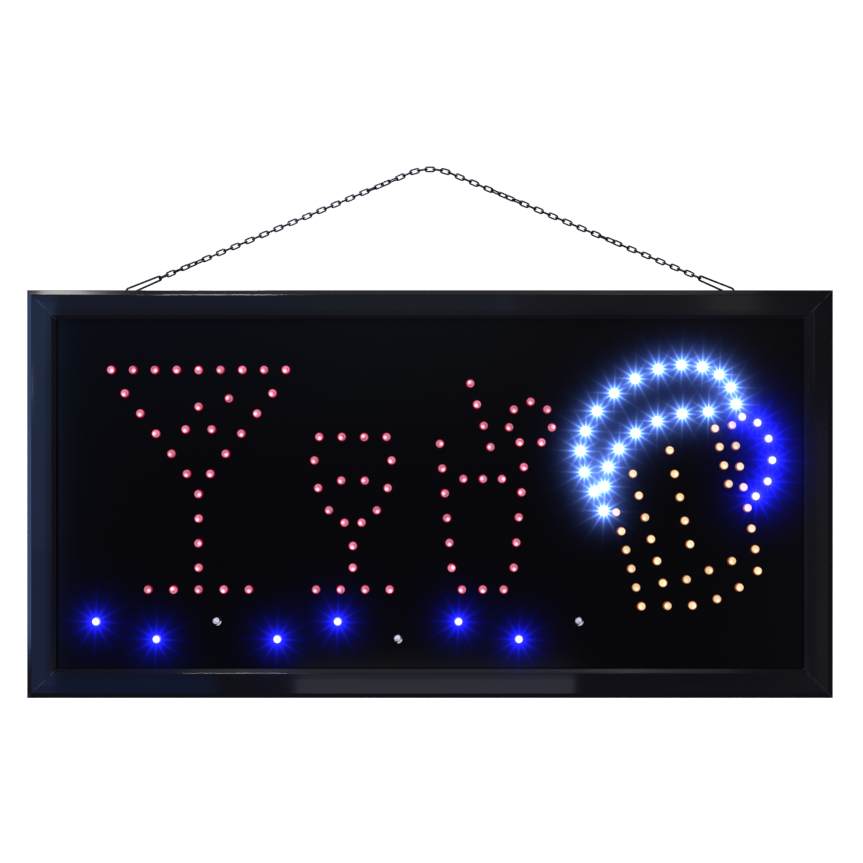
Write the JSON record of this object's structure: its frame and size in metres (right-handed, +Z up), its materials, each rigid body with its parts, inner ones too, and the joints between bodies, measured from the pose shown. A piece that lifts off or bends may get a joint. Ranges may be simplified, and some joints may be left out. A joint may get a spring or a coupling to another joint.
{
  "type": "hanging led sign",
  "caption": "Oblong lighted sign: black mitred frame round a lamp board showing drink outlines, hung from a fine chain; switches and power socket on the back.",
  "frame": {"origin": "centre of the chain's middle link, where a nail or hook holds the sign", "axes": "+X to the viewer's right along the frame, +Y to the back (the lamps face -Y), +Z up"},
  "size_m": [0.48, 0.0319, 0.3191],
  "materials": {
    "frame_plastic": "gloss black extruded plastic with a faint blue cast",
    "board_plastic": "satin black sheet",
    "lamp_red": "clear epoxy lamp lit red",
    "lamp_white": "clear epoxy lamp lit cool white",
    "lamp_amber": "clear epoxy lamp lit amber",
    "lamp_blue": "clear epoxy lamp lit blue",
    "lamp_clear": "clear epoxy lamp, unlit",
    "tinned_wire": "tinned wire",
    "red_insulation": "PVC insulation",
    "blue_insulation": "PVC insulation",
    "yellow_insulation": "PVC insulation",
    "key_plastic": "moulded plastic",
    "cover_plastic": "textured black sheet",
    "screw_steel": "zinc-plated steel",
    "spacer_foam": "closed-cell foam",
    "pcb_green": "solder mask over glass-fibre board",
    "component_black": "moulded epoxy",
    "capacitor_sleeve": "shrink sleeve",
    "resistor_coat": "resistor lacquer",
    "header_nylon": "natural nylon",
    "contact_brass": "stamped brass",
    "switch_plastic": "moulded nylon",
    "rocker_plastic": "moulded plastic, semi-gloss",
    "block_wood": "raw hardwood",
    "eye_steel": "zinc-plated wire",
    "chain_steel": "dark gunmetal plating"
  },
  "bodies": {
    "hanger": {"hook_left": "chain_steel", "hook_right": "chain_steel", "chain_left": "chain_steel", "chain_right": "chain_steel", "middle_link": "chain_steel"},
    "sign": {"top_rail": "frame_plastic", "bottom_rail": "frame_plastic", "left_stile": "frame_plastic", "right_stile": "frame_plastic", "corner_key_top_left": "key_plastic", "corner_key_top_right": "key_plastic", "corner_key_bottom_left": "key_plastic", "corner_key_bottom_right": "key_plastic", "display_board": "board_plastic", "red_lamps": "lamp_red", "white_lamps": "lamp_white", "amber_lamps": "lamp_amber", "blue_handle_lamps": "lamp_blue", "wave_lamps_lit": "lamp_blue", "wave_lamps_unlit": "lamp_clear", "lamp_leads": "tinned_wire", "string_wires": "red_insulation", "back_cover": "cover_plastic", "cover_screws": "screw_steel", "foam_spacers": "spacer_foam", "controller_board": "pcb_green", "flasher_chip": "component_black", "driver_transistors": "component_black", "smoothing_capacitor": "capacitor_sleeve", "resistors": "resistor_coat", "wire_header": "header_nylon", "board_standoffs": "header_nylon", "board_screws": "screw_steel", "power_harness": "red_insulation", "mode_harness": "blue_insulation", "lamp_harness": "yellow_insulation", "power_socket_body": "switch_plastic", "power_socket_pin": "tinned_wire", "power_socket_nut": "screw_steel", "power_switch_body": "switch_plastic", "power_switch_terminals": "contact_brass", "mode_switch_body": "switch_plastic", "mode_switch_terminals": "contact_brass", "anchor_block_left": "block_wood", "anchor_block_right": "block_wood", "screw_eye_left": "eye_steel", "screw_eye_right": "eye_steel"},
    "power_rocker": {"power_rocker": "rocker_plastic"},
    "mode_rocker": {"mode_rocker": "rocker_plastic"}
  },
  "joints": [
    {"name": "hanger_swing", "type": "hinge", "parent": "hanger", "child": "sign", "pos_m": [0, 0, -0.0779], "axis": [1, 0, 0], "range_deg": [-30, 170]},
    {"name": "power_rocker_tilt", "type": "hinge", "parent": "sign", "child": "power_rocker", "pos_m": [0.18, -0.0057, -0.2878], "axis": [1, 0, 0], "range_deg": [-16, 0]},
    {"name": "mode_rocker_tilt", "type": "hinge", "parent": "sign", "child": "mode_rocker", "pos_m": [0.16, -0.0057, -0.2878], "axis": [1, 0, 0], "range_deg": [-16, 0]}
  ]
}
